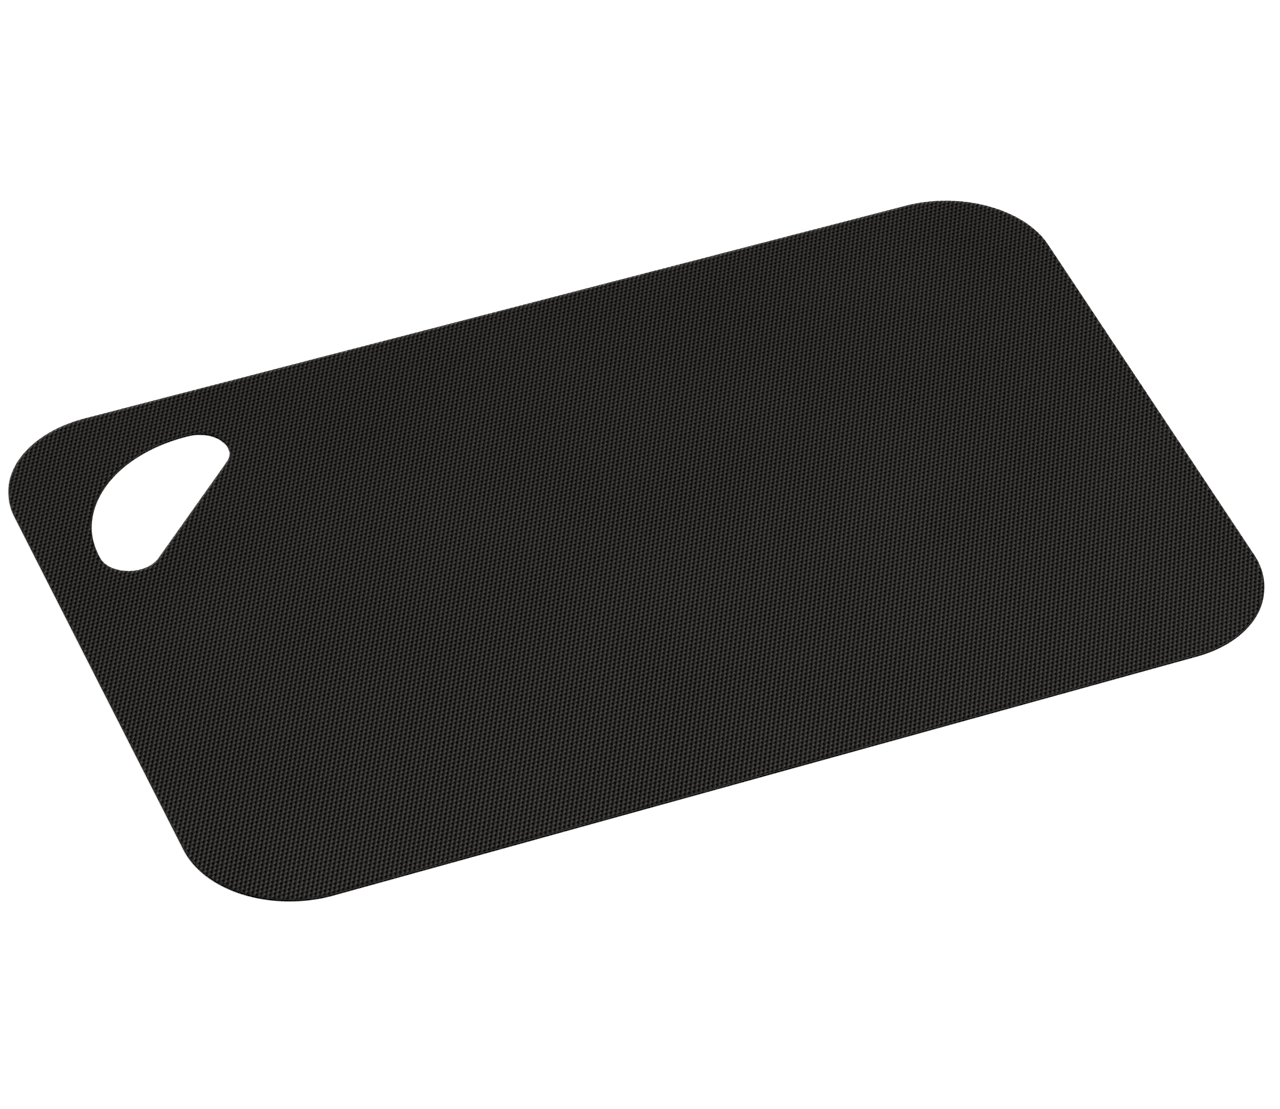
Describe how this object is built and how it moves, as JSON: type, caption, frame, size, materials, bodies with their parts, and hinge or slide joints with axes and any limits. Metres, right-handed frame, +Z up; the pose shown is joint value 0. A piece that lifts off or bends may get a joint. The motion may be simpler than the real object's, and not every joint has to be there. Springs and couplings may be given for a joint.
{
  "type": "flexible cutting mat",
  "caption": "Thin flexible cutting mat in matt black, with broad round corners, a half-moon grip opening in one corner and fine dimples all over its face.",
  "frame": {"origin": "middle of the underside, on the surface that the mat lies on", "axes": "+X along the long sides, +Y away from the cook so that the grip opening is in the far left corner, +Z up out of the dimpled side"},
  "size_m": [0.38, 0.25, 0.001],
  "materials": {
    "mat_plastic": "matt black flexible plastic with fine pressed dimples, eased rims"
  },
  "bodies": {
    "root": {"mat": "mat_plastic"}
  },
  "joints": []
}
